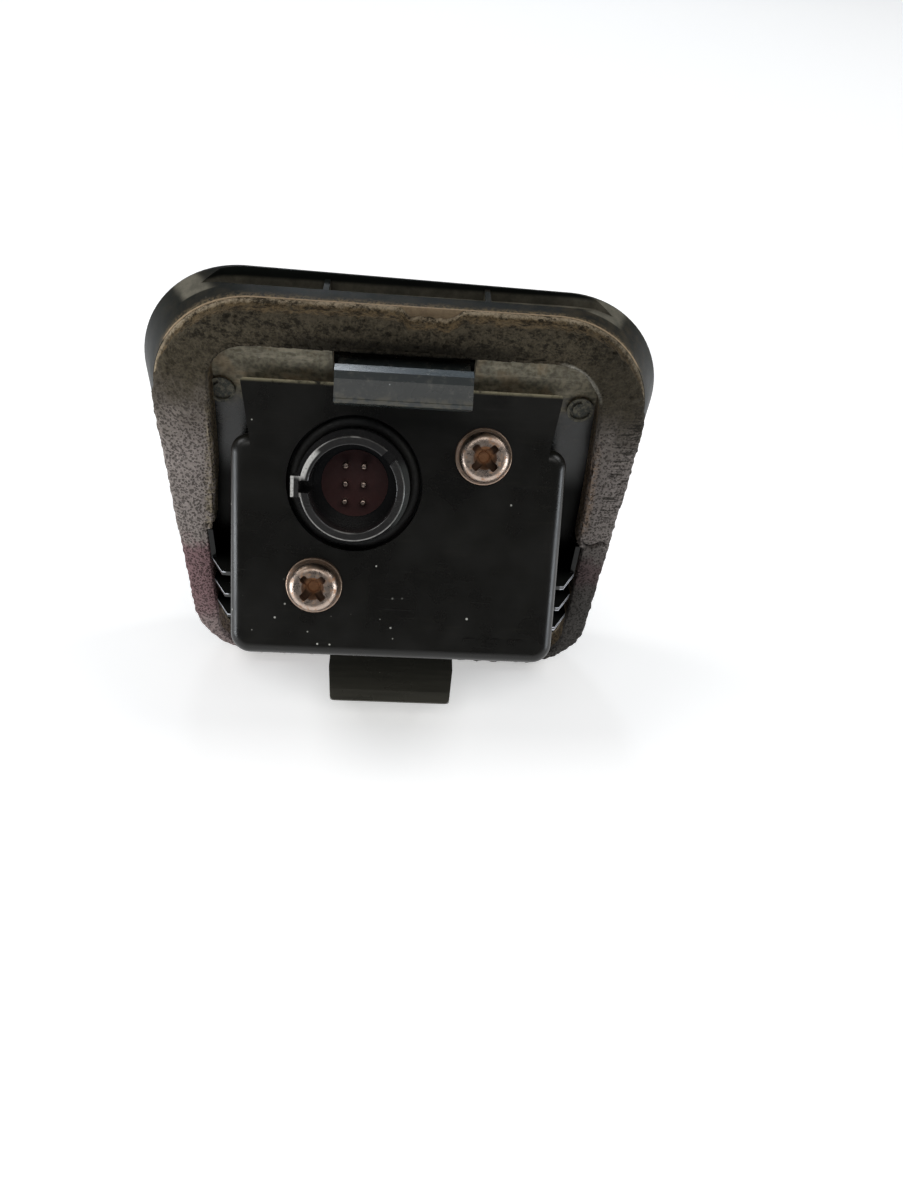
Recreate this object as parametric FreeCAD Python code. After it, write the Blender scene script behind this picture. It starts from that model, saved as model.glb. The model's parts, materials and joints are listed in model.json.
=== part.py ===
"""Snap-in backup camera for a truck or trailer panel: bezel, foam gasket, wedge housing, rear socket.

Row frame, millimetres: X to the right, Y forward (the way the lens looks), Z up. The origin is the
centre of the foam gasket's rear face, the face that is pressed on the panel's outer skin.
Two building frames are used. Both have x to the right, y up and z backward:
  upright: the panel's plane, so building z = -Y
  tilted:  the rear cover's plane, which leans by TILT, with its origin at the cover face's centre
"""
import FreeCAD, Part
import math
import os

V = FreeCAD.Vector

# ---- driving dimensions -----------------------------------------------------------------------
TILT = 30.0                       # the lens looks this far below the horizontal, degrees
FACE_ORIGIN = V(0, -7.0, 4.44)    # centre of the rear cover's outer face

SEAT_TOP_HALF, SEAT_BOTTOM_HALF, SEAT_HALF_HEIGHT, SEAT_R = 28.0, 26.5, 26.0, 12.0
FOAM_T, FOAM_INSET = 3.0, 0.55
FLANGE_T, FLANGE_INSET, FLANGE_CLEARANCE = 2.0, 1.7, 0.1   # housing plate that the foam is stuck on
FACE_TOP_HALF_W, FACE_BOTTOM_HALF_W, FACE_R = 29.9, 28.0, 12.0     # the bezel widens to its front
FACE_TOP_LEFT_Z, FACE_TOP_RIGHT_Z, FACE_BOTTOM_Z = 26.8, 25.7, -26.0
BEZEL_T, BEZEL_SKIN, BEZEL_EDGE_R, BEZEL_RIM_INSET = 4.6, 1.8, 1.2, 0.2
GROOVE_BACK, GROOVE_FLOOR_Z, GROOVE_RIB_X, GROOVE_RIB_TOP = 5.15, 24.5, 8.6, 25.75

FACE_HALF_H = 15.45               # T-shaped rear face: half height and half widths
FACE_TOP_HALF, NECK_HALF, BODY_HALF = 17.5, 16.5, 18.6
SHOULDER_Y, SHOULDER_R, FOOT_R = 9.5, 2.0, 2.3
COVER_T, COVER_EDGE_R, WALL = 2.0, 1.3, 1.6

CONN_X, CONN_Y = -4.95, 4.64      # socket centre on the rear face
CONN_OUTER_R, CONN_INNER_R, CONN_HEIGHT = 5.55, 4.65, 4.8
COLLAR_R, MOAT_R, PIN_PITCH, PIN_R = 6.1, 7.5, 2.0, 0.35
SCREWS = {"upper": (9.1, 8.43), "lower": (-9.1, -6.91)}
SCREW_R, SCREW_HEAD_R, SCREW_FLANGE_R, BOSS_R = 1.5, 2.75, 3.15, 2.7

LENS_Y, LENS_FACE_DEPTH, POD_R = 0.76, 23.0, 8.0
LATCH_HALF, LATCH_PIVOT = 6.95, V(0, 6.2, 20.0)
TONGUE_HALF, TONGUE_ROOT_HALF, TONGUE_TOP, TONGUE_TIP_Y = 7.65, 8.2, -21.2, -10.45
RIB_Z, RIB_T = (-7.5, -11.2, -14.8), 0.6
STAKE_X, STAKE_Z, STAKE_R = 20.0, 15.0, 1.5


# ---- helpers ----------------------------------------------------------------------------------
def upright(shape):
    """Turn a shape from the upright building frame into the row frame."""
    out = shape.copy()
    out.Placement = FreeCAD.Placement(V(0, 0, 0), FreeCAD.Rotation(V(1, 0, 0), 90)).multiply(out.Placement)
    return out


def tilted(shape):
    """Turn a shape from the tilted building frame into the row frame."""
    out = shape.copy()
    turn = FreeCAD.Rotation(V(1, 0, 0), 90 - TILT)
    out.Placement = FreeCAD.Placement(FACE_ORIGIN, turn).multiply(out.Placement)
    return out


def wire(corners, z):
    """Closed outline at height z from (x, y, corner radius) points."""
    pts = [V(x, y, z) for x, y, _ in corners]
    ends = []
    for i, (_, _, r) in enumerate(corners):
        p, before, after = pts[i], pts[i - 1], pts[(i + 1) % len(pts)]
        if r <= 0:
            ends.append((p, None, p))
            continue
        to_a, to_b = (before - p).normalize(), (after - p).normalize()
        half = to_a.getAngle(to_b) / 2
        a, b = p + to_a * (r / math.tan(half)), p + to_b * (r / math.tan(half))
        inward = (to_a + to_b).normalize()
        centre = p + inward * (r / math.sin(half))
        ends.append((a, centre - inward * r, b))
    edges = []
    for i, (a, mid, b) in enumerate(ends):
        if mid is not None:
            edges.append(Part.Arc(a, mid, b).toShape())
        following = ends[(i + 1) % len(ends)][0]
        if (following - b).Length > 1e-6:
            edges.append(Part.makeLine(b, following))
    return Part.Wire(edges)


def prism(corners, z0, z1):
    """Extrude a rounded outline from z0 to z1."""
    return Part.Face(wire(corners, z0)).extrude(V(0, 0, z1 - z0))


def block(x0, x1, y0, y1, z0, z1):
    return Part.makeBox(x1 - x0, y1 - y0, z1 - z0, V(x0, y0, z0))


def rod(r, z0, z1, x=0.0, y=0.0):
    """Cylinder along the building frame's z."""
    return Part.makeCylinder(r, z1 - z0, V(x, y, z0))


def ring(r_out, r_in, z0, z1, x=0.0, y=0.0):
    return rod(r_out, z0, z1, x, y).cut(rod(r_in, z0 - 1, z1 + 1, x, y))


def turned(profile, x=0.0, y=0.0):
    """Solid of revolution about the line through (x, y) along z, from (radius, z) points."""
    face = Part.Face(Part.makePolygon([V(r, 0, z) for r, z in profile + profile[:1]]))
    solid = face.revolve(V(0, 0, 0), V(0, 0, 1), 360)
    solid.translate(V(x, y, 0))
    return solid


def joined(*shapes):
    out = shapes[0]
    for s in shapes[1:]:
        out = out.fuse(s)
    return out.removeSplitter()


def edges_where(shape, test):
    return [e for e in shape.Edges if test(e)]


# ---- outlines ---------------------------------------------------------------------------------
def seat_outline(inset=0.0):
    """Slightly tapered rounded rectangle of the foam, the flange and the bezel's rear rim."""
    top, bottom = SEAT_TOP_HALF - inset, SEAT_BOTTOM_HALF - inset
    h, r = SEAT_HALF_HEIGHT - inset, SEAT_R - inset
    return [(-bottom, -h, r), (bottom, -h, r), (top, h, r), (-top, h, r)]


def bezel_face_outline():
    """Wider outline of the bezel's front; its upper edge slopes down to the right, like the vehicle's panel."""
    top, bottom, r = FACE_TOP_HALF_W, FACE_BOTTOM_HALF_W, FACE_R
    return [(-bottom, FACE_BOTTOM_Z, r), (bottom, FACE_BOTTOM_Z, r),
            (top, FACE_TOP_RIGHT_Z, r), (-top, FACE_TOP_LEFT_Z, r)]


def face_outline(inset=0.0):
    """T-shaped outline of the rear cover and the wedge housing."""
    i, shoulder = inset, SHOULDER_Y - inset
    big, foot = max(SHOULDER_R - i, 0.3), max(FOOT_R - i, 0.3)
    right = [
        (BODY_HALF - i, -FACE_HALF_H + i, foot),
        (BODY_HALF - i, shoulder, big),
        (NECK_HALF - i, shoulder, 0.0),
        (FACE_TOP_HALF - i, FACE_HALF_H - i, 0.4),
    ]
    left = [(-x, y, r) for x, y, r in reversed(right)]
    return right + left


def foam_opening():
    """Inside edge of the foam, with the cut-back corners below the two slits."""
    right = [
        (23.2, -23.0, 4.0),
        (23.2, -2.9, 0.0),
        (22.2, -2.3, 0.0),
        (21.5, 21.8, 4.5),
    ]
    return right + [(-x, y, r) for x, y, r in reversed(right)]


# ---- shell ------------------------------------------------------------------------------------
def lens_pod(r_base, r_face, depth_back, depth_face):
    """Cone round the lens axis, tilted frame, between two depths below the rear face."""
    return Part.makeCone(r_face, r_base, depth_face - depth_back, V(0, LENS_Y, -depth_face))


def front_bezel():
    back, front = FOAM_T + FLANGE_T, FOAM_T + FLANGE_T + BEZEL_T
    plate_back = front - BEZEL_EDGE_R - 0.2
    plate = prism(bezel_face_outline(), -front, -plate_back)
    front_edge = edges_where(plate, lambda e: e.BoundBox.ZMax < -front + 0.01)
    plate = plate.makeFillet(BEZEL_EDGE_R, front_edge)
    flare = Part.makeLoft([wire(bezel_face_outline(), -plate_back), wire(seat_outline(BEZEL_RIM_INSET), -FOAM_T)],
                          True, True)
    cap = upright(plate.fuse(flare))
    cap = cap.cut(upright(prism(seat_outline(FLANGE_INSET - FLANGE_CLEARANCE), -back, 0)))
    cap = cap.fuse(tilted(lens_pod(10.5, POD_R, 12.0, LENS_FACE_DEPTH))).removeSplitter()

    # the pod only shows in front of the plate; the rim reaches back round the flange
    cap = cap.cut(upright(prism(seat_outline(FLANGE_INSET - FLANGE_CLEARANCE), -back, 30)))
    pod_edge = edges_where(cap, lambda e: e.BoundBox.DiagonalLength > 20 and on_lens_face(e))
    cap = cap.makeFillet(0.8, pod_edge)

    # hollow for the camera module, short of the latch pocket
    skin = -(front - BEZEL_SKIN)
    hollow = [(22.0, -21.5, 6), (22.0, 17.2, 4), (-22.0, 17.2, 4), (-22.0, -21.5, 6)]
    cap = cap.cut(upright(prism(hollow, skin, -back)))
    cap = cap.cut(upright(block(-8.6, 8.6, 18.8, 21.2, -7.35, -back)))

    # stepped bore of the lens: wide behind for the barrel's head and its seal
    cap = cap.cut(tilted(joined(rod(6.6, -LENS_FACE_DEPTH - 1, -18.4, 0, LENS_Y),
                                rod(7.6, -18.4, -8.0, 0, LENS_Y))))

    # long recess in the top edge, pointed at both ends, with two small bridging ribs
    lip = front - BEZEL_EDGE_R
    plan = [(-21.7, 6.5, 0.0), (-17.5, GROOVE_BACK, 0.0), (17.5, GROOVE_BACK, 0.0), (22.4, 6.4, 0.0),
            (20.6, lip - 0.3, 1.0), (18.0, lip, 0.0), (-17.5, lip, 0.0), (-19.8, lip - 0.3, 1.0)]
    groove = prism(plan, GROOVE_FLOOR_Z, FACE_TOP_LEFT_Z + 1)
    for x in (-GROOVE_RIB_X, GROOVE_RIB_X):
        groove = groove.cut(block(x - 0.3, x + 0.3, GROOVE_BACK - 1, lip + 1, GROOVE_FLOOR_Z - 1, GROOVE_RIB_TOP))
    cap = cap.cut(groove)

    # stakes that hold the flange, with a C-shaped witness groove in each head
    for side in (-1, 1):
        stake = rod(STAKE_R, -back, -FOAM_T + 0.5, side * STAKE_X, STAKE_Z)
        c_mark = ring(1.2, 0.85, -FOAM_T + 0.25, -FOAM_T + 1, side * STAKE_X, STAKE_Z)
        gap = block(0.0, 3.0, -0.6, 2.0, -FOAM_T, 0) if side < 0 else block(0.2, 3.0, -0.2, 2.2, -FOAM_T, 0)
        gap.translate(V(side * STAKE_X - 0.2, STAKE_Z, 0))
        cap = cap.fuse(upright(stake.cut(c_mark.cut(gap))))
    return cap.removeSplitter()


def on_lens_face(edge):
    """True when an edge lies in the flat front of the lens pod."""
    n = V(0, math.cos(math.radians(TILT)), -math.sin(math.radians(TILT)))
    return all(abs((v.Point - FACE_ORIGIN).dot(n) - LENS_FACE_DEPTH) < 0.01 for v in edge.Vertexes)


def foam_gasket():
    outer = prism(seat_outline(FOAM_INSET), -FOAM_T, 0)
    return upright(outer.cut(prism(foam_opening(), -FOAM_T - 1, 1)))


def housing():
    back, front = FOAM_T, FOAM_T + FLANGE_T
    flange = upright(prism(seat_outline(FLANGE_INSET), -front, -back))

    # wedge box: leaned walls from the cover down to the flange
    box = tilted(prism(face_outline(0.05), -30, -COVER_T))
    keep = Part.makeBox(80, 60, 80, V(-40, front - 60, -40))
    body = flange.fuse(box.common(keep)).removeSplitter()
    body = body.cut(tilted(prism(face_outline(WALL), -32, -COVER_T + 1)))

    # centring ribs on both sides, the top one ending a short rail
    for side in (-1, 1):
        for z in RIB_Z:
            body = body.fuse(side_rib(side, z))
        rail = block(22.3, 22.9, RIB_Z[0], -2.9, -front + 1, 0)
        body = body.fuse(upright(rail if side > 0 else mirrored(rail)))

    # slot for the latch, holes for the stakes, hooked tongue below
    body = body.cut(upright(prism([(7.8, 17.6, 0.4), (7.8, 22.0, 0.4), (-7.8, 22.0, 0.4),
                                   (-7.8, 17.6, 0.4)], -front - 1, -back + 1)))
    for side in (-1, 1):
        body = body.cut(upright(rod(STAKE_R, -front - 1, -back + 1, side * STAKE_X, STAKE_Z)))
    return body.fuse(tongue()).removeSplitter()


def mirrored(shape):
    return shape.mirror(V(0, 0, 0), V(1, 0, 0))


def side_rib(side, z):
    """Thin centring rib: an outer land, then a chamfer that leads the panel's edge in."""
    pts = [(17.8, 4.0), (22.9, 4.0), (22.9, 0.0), (21.2, -2.7), (17.8, -2.9)]
    poly = Part.makePolygon([V(side * x, y, z - RIB_T / 2) for x, y in pts + pts[:1]])
    return Part.Face(poly).extrude(V(0, 0, RIB_T))


def tongue():
    """Fixed hook under the housing: a lead-in chamfer, a thin undercut tip and a tooth behind it."""
    t, tip = TONGUE_TOP, TONGUE_TIP_Y
    pts = [(4.0, t), (-8.9, t), (tip + 0.05, t - 0.35), (tip, t - 0.5), (-8.9, t - 1.5), (-7.6, t - 1.5),
           (-7.2, t - 2.9), (-6.4, t - 2.9), (-6.0, t - 1.5), (4.0, t - 1.5)]
    poly = Part.makePolygon([V(-10, y, z) for y, z in pts + pts[:1]])
    side_view = Part.Face(poly).extrude(V(20, 0, 0))
    half, root = TONGUE_HALF, TONGUE_ROOT_HALF
    plan = [(-root, 4.0, 0.0), (-root, -5.0, 0.0), (-half, tip, 0.7), (half, tip, 0.7),
            (root, -5.0, 0.0), (root, 4.0, 0.0)]
    return side_view.common(prism(plan, t - 4, t + 1))


def top_latch():
    """Sprung snap latch: pivot bar, arm, catch with a flat crest and a lead-in ramp."""
    p = LATCH_PIVOT
    pts = [(p.y, 20.8), (-4.3, 20.8), (-4.3, 22.9), (-5.55, 22.9), (-5.75, 22.1), (-7.0, 20.6), (-7.0, 20.1),
           (-5.9, 19.2), (p.y, 19.2)]
    poly = Part.makePolygon([V(-LATCH_HALF, y, z) for y, z in pts + pts[:1]])
    arm = Part.Face(poly).extrude(V(2 * LATCH_HALF, 0, 0))
    bar = Part.makeCylinder(1.1, 16.6, V(-8.3, p.y, p.z), V(1, 0, 0))
    nose = edges_where(arm, lambda e: e.BoundBox.YMax < -6.9 and e.BoundBox.XLength > 1)
    return joined(arm.makeFillet(0.2, nose), bar)


def rear_cover():
    w, h = BODY_HALF, FACE_HALF_H
    low = prism([(w, -h, FOOT_R), (w, SHOULDER_Y, SHOULDER_R), (-w, SHOULDER_Y, SHOULDER_R), (-w, -h, FOOT_R)],
                -COVER_T, 0)
    low = low.makeFillet(COVER_EDGE_R, edges_where(low, lambda e: e.BoundBox.ZMin > -0.01))
    neck = prism([(NECK_HALF - 0.4, 6.0, 0), (NECK_HALF, SHOULDER_Y, 0), (FACE_TOP_HALF, h, 0.4),
                  (-FACE_TOP_HALF, h, 0.4), (-NECK_HALF, SHOULDER_Y, 0), (0.4 - NECK_HALF, 6.0, 0)],
                 -COVER_T, 0)
    plate = low.fuse(neck)
    spigot = prism(face_outline(2.4), -3.6, -COVER_T).cut(prism(face_outline(3.6), -4, -COVER_T + 0.5))
    plate = plate.fuse(spigot.cut(rod(8.5, -5, -COVER_T, CONN_X, CONN_Y)))
    for x, y in SCREWS.values():
        plate = plate.cut(rod(SCREW_R + 0.15, -5, 1, x, y))
    plate = plate.cut(rod(MOAT_R, -5, 1, CONN_X, CONN_Y))

    # plain moulded tick bars in the lower corner
    for k in range(3):
        x = 8.2 + 2.6 * k
        plate = plate.fuse(block(x, x + 1.4, -12.9, -12.5, -0.2, 0.12))
    return tilted(plate.removeSplitter())


def cover_seal():
    return tilted(prism(face_outline(WALL), -3.3, -2.05).cut(prism(face_outline(2.4), -4, -1)))


def cover_screw(x, y, length):
    """Pan-head machine screw with a rolled-on flange and a cross recess."""
    head = rod(SCREW_HEAD_R, 0.35, 2.15, x, y)
    head = head.makeFillet(0.85, edges_where(head, lambda e: e.BoundBox.ZMin > 2.1))
    flange = rod(SCREW_FLANGE_R, 0, 0.45, x, y)
    flange = flange.makeFillet(0.15, edges_where(flange, lambda e: e.BoundBox.ZMin > 0.4))
    shank = rod(SCREW_R, -length, 0.1, x, y)
    screw = joined(head, flange, shank)
    for angle in (45, 135):
        blade = Part.makeBox(3.5, 0.85, 2.0, V(-1.75, -0.425, 0.85))
        blade = blade.makeFillet(0.25, edges_where(blade, lambda e: e.BoundBox.ZLength > 1))
        blade.rotate(V(0, 0, 0), V(0, 0, 1), angle)
        blade.translate(V(x, y, 0))
        screw = screw.cut(blade)
    cone = Part.makeCone(0.55, 1.35, 1.8, V(x, y, 0.5))
    return tilted(screw.cut(cone))


# ---- rear socket ------------------------------------------------------------------------------
def connector_shell():
    """Round socket: base flange behind the cover, collar, tube with a keyway and a key notch."""
    x, y, top = CONN_X, CONN_Y, CONN_HEIGHT
    body = joined(rod(8.4, -3.2, -COVER_T, x, y), rod(COLLAR_R, -COVER_T, 2.4, x, y),
                  rod(CONN_OUTER_R, 2.4, top, x, y),
                  block(x - 6.45, x - 4.0, y - 1.1, y + 1.1, -0.5, top))
    body = body.cut(rod(CONN_INNER_R, -1.3, top + 1, x, y))
    body = body.cut(rod(3.2, -4, 0, x, y))
    body = body.cut(block(x - 5.65, x - 3.0, y - 0.65, y + 0.65, -0.5, top + 1))
    notch = Part.makeBox(1.6, 1.3, 2.2, V(4.2, -0.65, top - 1.6))
    notch.rotate(V(0, 0, 0), V(0, 0, 1), 43)
    notch.translate(V(x, y, 0))
    body = body.cut(notch)
    rim = edges_where(body, lambda e: e.BoundBox.ZMin > top - 0.01 and e.BoundBox.DiagonalLength > 6)
    return tilted(body.makeFillet(0.15, rim))


def pin_centres():
    return [(CONN_X + i * PIN_PITCH - PIN_PITCH / 2, CONN_Y + j * PIN_PITCH - PIN_PITCH)
            for j in (2, 1, 0) for i in (0, 1)]


def connector_insert():
    body = joined(rod(3.2, -4.4, -1.2, CONN_X, CONN_Y), rod(3.7, -1.3, -1.0, CONN_X, CONN_Y))
    body = body.fuse(rod(3.7, -4.4, -3.2, CONN_X, CONN_Y))
    for x, y in pin_centres():
        body = body.cut(rod(PIN_R, -5, 1, x, y))
    return tilted(body.removeSplitter())


def contact_pin(x, y):
    pin = rod(PIN_R, -7.0, 0.3, x, y)
    return tilted(pin.makeFillet(0.2, edges_where(pin, lambda e: e.BoundBox.ZMin > 0.29)))


def connector_seal():
    seal = Part.makeTorus(6.75, 0.6, V(CONN_X, CONN_Y, -COVER_T + 0.6))
    return tilted(seal)


# ---- camera module ----------------------------------------------------------------------------
BOARD_POSTS = ((9.6, -8.8), (-9.6, 6.6))


def cut_for_bosses(shape, clearance=0.3):
    for x, y in SCREWS.values():
        shape = shape.cut(rod(BOSS_R + clearance, -12, -1, x, y))
    return shape


def main_board():
    board = prism([(13.0, -12.5, 1), (13.0, 8.2, 1), (11.5, 11.8, 1), (-11.5, 11.8, 1), (-13.0, 8.2, 1),
                   (-13.0, -12.5, 1)], -6.4, -5.4)
    board = cut_for_bosses(board)
    for x, y in pin_centres():
        board = board.cut(rod(PIN_R, -8, 0, x, y))
    for x, y in BOARD_POSTS:
        board = board.cut(rod(0.9, -8, 0, x, y))
    return tilted(board)


def sensor_board():
    board = cut_for_bosses(prism([(11.0, -10.2, 1), (11.0, 9.0, 1), (-11.0, 9.0, 1), (-11.0, -10.2, 1)],
                                 -9.2, -8.4))
    for x, y in BOARD_POSTS:
        board = board.cut(rod(0.9, -10, 0, x, y))
    return tilted(board)


def board_spacer(x, y):
    return tilted(ring(1.5, 0.9, -8.4, -6.4, x, y))


def board_screw(x, y):
    screw = joined(rod(0.8, -10.6, -5.4, x, y), rod(1.5, -5.4, -4.5, x, y))
    return tilted(screw.cut(block(x - 1.0, x + 1.0, y - 0.2, y + 0.2, -5.0, -4)))


def board_plug():
    return tilted(block(2.2, 8.2, -6.0, -2.8, -7.4, -6.4))


def board_receptacle():
    return tilted(block(2.0, 8.4, -6.2, -2.6, -8.4, -7.4))


def processor_chip():
    return tilted(block(-3.4, 3.6, -9.6, -2.6, -5.4, -4.3))


def board_capacitors():
    """Small parts soldered on the main board, in two rows."""
    row = [block(-12.2, -10.4, y, y + 1.0, -5.4, -4.6) for y in (-12.0, -10.3, 0.6, 2.3)]
    row += [block(10.2, 12.0, y, y + 1.0, -5.4, -4.6) for y in (-6.0, -4.2, -2.4, -0.6)]
    return tilted(Part.makeCompound(row))


def shield_can():
    can = block(-6.0, 1.4, -6.2, 0.4, -8.0, -6.4)
    return tilted(can.cut(block(-5.8, 1.2, -6.0, 0.2, -7.8, -6.3)))


def module_frame():
    """Chassis of the camera module: two screw bosses, a plate and the lens tube."""
    plate = prism([(11.8, -11.4, 1.5), (11.8, 8.8, 1.5), (-11.8, 8.8, 1.5), (-11.8, -11.4, 1.5)], -10.8, -9.2)
    body = joined(plate, rod(7.4, -15.6, -10.8, 0, LENS_Y))
    for x, y in SCREWS.values():
        boss = rod(BOSS_R, -10.2, -COVER_T, x, y)
        body = joined(body, boss)
    for x, y in SCREWS.values():
        body = body.cut(rod(SCREW_R, -9.6, -1, x, y))
    for x, y in BOARD_POSTS:
        body = body.cut(rod(0.8, -12, -9, x, y))
    body = body.cut(rod(4.6, -12, -9, 0, LENS_Y))
    body = body.cut(rod(6.0, -16, -11.9, 0, LENS_Y))
    body = body.cut(block(-4.7, 4.7, LENS_Y - 4.7, LENS_Y + 4.7, -11.9, -11.4))
    return tilted(body)


def image_sensor():
    base = block(-3.4, 3.4, LENS_Y - 2.9, LENS_Y + 2.9, -10.0, -9.2)
    return tilted(base.fuse(block(-2.6, 2.6, LENS_Y - 2.0, LENS_Y + 2.0, -10.15, -10.0)).removeSplitter())


def ir_filter():
    return tilted(block(-4.5, 4.5, LENS_Y - 4.5, LENS_Y + 4.5, -11.8, -11.4))


def lens_barrel():
    """Stepped barrel; the wide head carries the seal and stops on the lens tube's side of the bezel."""
    y = LENS_Y
    outside = joined(rod(6.0, -21.6, -11.9, 0, y), rod(6.55, -22.2, -17.6, 0, y), rod(7.5, -17.6, -16.0, 0, y))
    inside = joined(rod(3.0, -13.4, -11, 0, y), rod(3.6, -15.4, -13.4, 0, y), rod(4.4, -18.6, -15.4, 0, y),
                    rod(5.4, -23, -18.6, 0, y))
    return tilted(outside.cut(inside))


def lens_element(r_edge, z_back, thickness, bulge_front, bulge_back):
    """Round element with two spherical faces; z_back is its rear rim's height."""
    y, front = LENS_Y, z_back - thickness
    body = rod(r_edge, front, z_back, 0, y)
    if bulge_front > 0:
        rad = (r_edge ** 2 + bulge_front ** 2) / (2 * bulge_front)
        cap = Part.makeSphere(rad, V(0, y, front - bulge_front + rad))
        body = body.fuse(cap.common(rod(r_edge, front - bulge_front - 0.1, front, 0, y)))
    if bulge_back < 0:
        rad = (r_edge ** 2 * 0.64 + bulge_back ** 2) / (-2 * bulge_back)
        body = body.cut(Part.makeSphere(rad, V(0, y, z_back + rad + bulge_back)))
    return tilted(body.removeSplitter())


def front_lens():
    return lens_element(5.4, -18.6, 2.2, 1.5, -1.0)


def middle_lens():
    return lens_element(4.4, -15.8, 1.6, 0.5, -0.5)


def rear_lens():
    return lens_element(3.6, -13.4, 1.4, 0.4, 0)


def lens_retainer():
    y = LENS_Y
    cap = turned([(5.4, -20.82), (5.4, -21.9), (4.7, -22.2), (4.7, -21.22), (5.05, -21.04)], 0, y)
    return tilted(cap)


def lens_seal():
    return tilted(Part.makeTorus(7.1, 0.4, V(0, LENS_Y, -18.0)))


# ---- write ------------------------------------------------------------------------------------
def all_nodes():
    nodes = {
        "front_bezel": front_bezel(), "foam_gasket": foam_gasket(), "housing": housing(),
        "top_latch": top_latch(), "rear_cover": rear_cover(), "cover_seal": cover_seal(),
        "connector_shell": connector_shell(), "connector_insert": connector_insert(),
        "connector_seal": connector_seal(), "main_board": main_board(), "sensor_board": sensor_board(),
        "board_plug": board_plug(), "board_receptacle": board_receptacle(),
        "processor_chip": processor_chip(), "board_capacitors": board_capacitors(),
        "shield_can": shield_can(), "module_frame": module_frame(), "image_sensor": image_sensor(),
        "ir_filter": ir_filter(), "lens_barrel": lens_barrel(), "front_lens": front_lens(),
        "middle_lens": middle_lens(), "rear_lens": rear_lens(), "lens_retainer": lens_retainer(),
        "lens_seal": lens_seal(),
    }
    for name, (x, y) in SCREWS.items():
        nodes[f"cover_screw_{name}"] = cover_screw(x, y, 9.0)
    for k, (x, y) in enumerate(pin_centres(), 1):
        nodes[f"contact_pin_{k}"] = contact_pin(x, y)
    for k, (x, y) in enumerate(BOARD_POSTS, 1):
        nodes[f"board_spacer_{k}"] = board_spacer(x, y)
        nodes[f"board_screw_{k}"] = board_screw(x, y)
    return nodes


os.makedirs("parts", exist_ok=True)
for node, shape in all_nodes().items():
    shape.exportStep(f"parts/{node}.step")
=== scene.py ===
"""Visual model of the snap-in backup camera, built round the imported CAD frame.

Blender's units are metres. Places in materials and the foam's own numbers are millimetres in the same
frame: the front faces +Y, and seen from behind +X is right and +Z is up.
"""
import json
import math

import bpy
import numpy as np
from mathutils import Matrix, Vector, noise


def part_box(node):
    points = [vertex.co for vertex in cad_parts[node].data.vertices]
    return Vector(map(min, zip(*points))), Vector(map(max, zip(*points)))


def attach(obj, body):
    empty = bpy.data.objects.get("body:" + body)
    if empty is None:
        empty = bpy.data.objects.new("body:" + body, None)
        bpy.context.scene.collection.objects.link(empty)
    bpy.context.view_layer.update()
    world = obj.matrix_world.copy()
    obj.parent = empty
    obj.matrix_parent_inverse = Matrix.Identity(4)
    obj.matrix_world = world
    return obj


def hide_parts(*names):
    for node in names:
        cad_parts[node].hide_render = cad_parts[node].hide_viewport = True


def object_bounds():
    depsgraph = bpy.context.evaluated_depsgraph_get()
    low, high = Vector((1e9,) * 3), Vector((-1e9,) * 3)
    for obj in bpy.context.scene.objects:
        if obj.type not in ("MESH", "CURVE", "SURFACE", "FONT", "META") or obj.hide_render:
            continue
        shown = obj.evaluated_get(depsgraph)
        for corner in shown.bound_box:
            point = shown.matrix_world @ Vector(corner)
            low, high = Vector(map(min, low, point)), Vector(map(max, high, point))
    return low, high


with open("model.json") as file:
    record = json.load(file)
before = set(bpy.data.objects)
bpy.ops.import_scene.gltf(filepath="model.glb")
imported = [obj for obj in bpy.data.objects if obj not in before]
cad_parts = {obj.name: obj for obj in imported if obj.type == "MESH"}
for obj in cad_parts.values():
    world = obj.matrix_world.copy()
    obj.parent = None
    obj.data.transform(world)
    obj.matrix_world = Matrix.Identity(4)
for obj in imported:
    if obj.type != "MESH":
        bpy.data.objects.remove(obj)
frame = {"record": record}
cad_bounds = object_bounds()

MM = 0.001
CAMERA_PLACE = (-0.42, -85.56, 68.62)     # mm
CAMERA_DIRECTION = (0.0672, 0.7220, -0.6886)
CAMERA_ROLL = 6.13                        # degrees
CAMERA_LENS = 27.08                       # mm, on Blender's default 36 mm sensor
FLOOR_DROP = 0.0004                       # metres below the object
FLOOR_REACH = 4.0                         # metres from the middle to an edge
FLOOR_ALBEDO, FLOOR_GLOW = 0.92, 0.38
SKY_COLOUR, SKY_STRENGTH = (0.8, 0.85, 0.9, 1), 0.10

# places on the object, mm
COVER_ORIGIN = (0.0, -7.0, 4.44)   # centre of the leaned rear cover's face
COVER_V = (0.0, 0.5, 0.8660254)    # up along the cover's face
COVER_W = (0.0, -0.8660254, 0.5)   # straight out of the cover's face
SOCKET_X, SOCKET_V = -4.95, 4.64   # socket centre on the cover's face
SOCKET_RIM_R, SOCKET_RIM_W = 5.55, 4.8
COVER_DIRT_V = 15.42               # from here up the cover's edge is fully dirty
RIB_Z, RIB_EDGE = (-7.5, -11.2, -14.8), 0.22   # side ribs: middles, and from there to the edge with the painted highlight
HOOK_SHADE_Z = -20.2               # the hook's finish begins to blend in here, 1 mm above its top
SCREW_TOP_W = 2.12                 # just under the flat top of a screw's head
CREASE_CENTRE, CREASE_R = (15.4, 0.0, 15.8), 6.0   # the opening's upper right corner


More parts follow.
